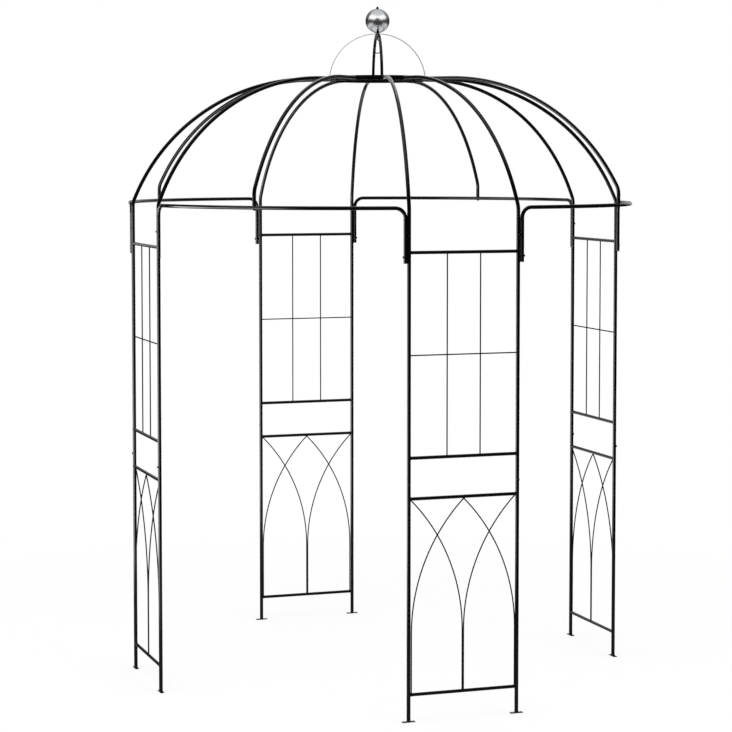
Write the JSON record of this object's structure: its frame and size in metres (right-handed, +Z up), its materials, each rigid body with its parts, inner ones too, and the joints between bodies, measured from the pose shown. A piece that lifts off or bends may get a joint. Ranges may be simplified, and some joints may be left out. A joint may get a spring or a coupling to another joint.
{
  "type": "trellis pavilion",
  "caption": "Round domed garden pavilion of black steel tube: trellis panels, curved ribs to a crown ring, and a polished ball finial above a lamp hook.",
  "frame": {"origin": "on the ground, on the pavilion's upright axis below the crown", "axes": "+Z up; -Y towards the front trellis panel, +X towards the right one"},
  "size_m": [2.0024, 2.0024, 2.7516],
  "materials": {
    "black_powder_coat": "glossy black powder coat on steel tube and wire",
    "black_hardware": "black coated steel screws, bolts and nuts",
    "polished_steel": "polished stainless steel, spun from sheet",
    "zinc_plate": "bright zinc plated steel"
  },
  "bodies": {
    "root": {"back_arch_wires": "black_powder_coat", "back_foot_strips": "black_powder_coat", "back_left_connector": "black_powder_coat", "back_left_mid_rib": "black_powder_coat", "back_left_rib": "black_powder_coat", "back_lower_legs": "black_powder_coat", "back_lower_rails": "black_powder_coat", "back_right_connector": "black_powder_coat", "back_right_mid_rib": "black_powder_coat", "back_right_rib": "black_powder_coat", "back_trellis_wires": "black_powder_coat", "back_upper_legs": "black_powder_coat", "back_upper_rails": "black_powder_coat", "connector_bolts": "black_hardware", "connector_inserts": "black_hardware", "crown_ring": "black_powder_coat", "crown_spigots": "black_powder_coat", "finial_ball": "polished_steel", "finial_cap_nut": "black_hardware", "front_arch_wires": "black_powder_coat", "front_foot_strips": "black_powder_coat", "front_left_connector": "black_powder_coat", "front_left_mid_rib": "black_powder_coat", "front_left_rib": "black_powder_coat", "front_lower_legs": "black_powder_coat", "front_lower_rails": "black_powder_coat", "front_right_connector": "black_powder_coat", "front_right_mid_rib": "black_powder_coat", "front_right_rib": "black_powder_coat", "front_trellis_wires": "black_powder_coat", "front_upper_legs": "black_powder_coat", "front_upper_rails": "black_powder_coat", "hook_bolt": "zinc_plate", "hoop_nut": "zinc_plate", "left_arch_wires": "black_powder_coat", "left_foot_strips": "black_powder_coat", "left_left_rib": "black_powder_coat", "left_lower_legs": "black_powder_coat", "left_lower_rails": "black_powder_coat", "left_right_rib": "black_powder_coat", "left_trellis_wires": "black_powder_coat", "left_upper_legs": "black_powder_coat", "left_upper_rails": "black_powder_coat", "lower_hoop": "black_powder_coat", "mid_rib_bolts": "black_hardware", "mid_rib_inserts": "black_hardware", "rib_screws": "black_hardware", "right_arch_wires": "black_powder_coat", "right_foot_strips": "black_powder_coat", "right_left_rib": "black_powder_coat", "right_lower_legs": "black_powder_coat", "right_lower_rails": "black_powder_coat", "right_right_rib": "black_powder_coat", "right_trellis_wires": "black_powder_coat", "right_upper_legs": "black_powder_coat", "right_upper_rails": "black_powder_coat", "splice_screws": "black_hardware", "upper_hoop": "black_powder_coat"}
  },
  "joints": []
}
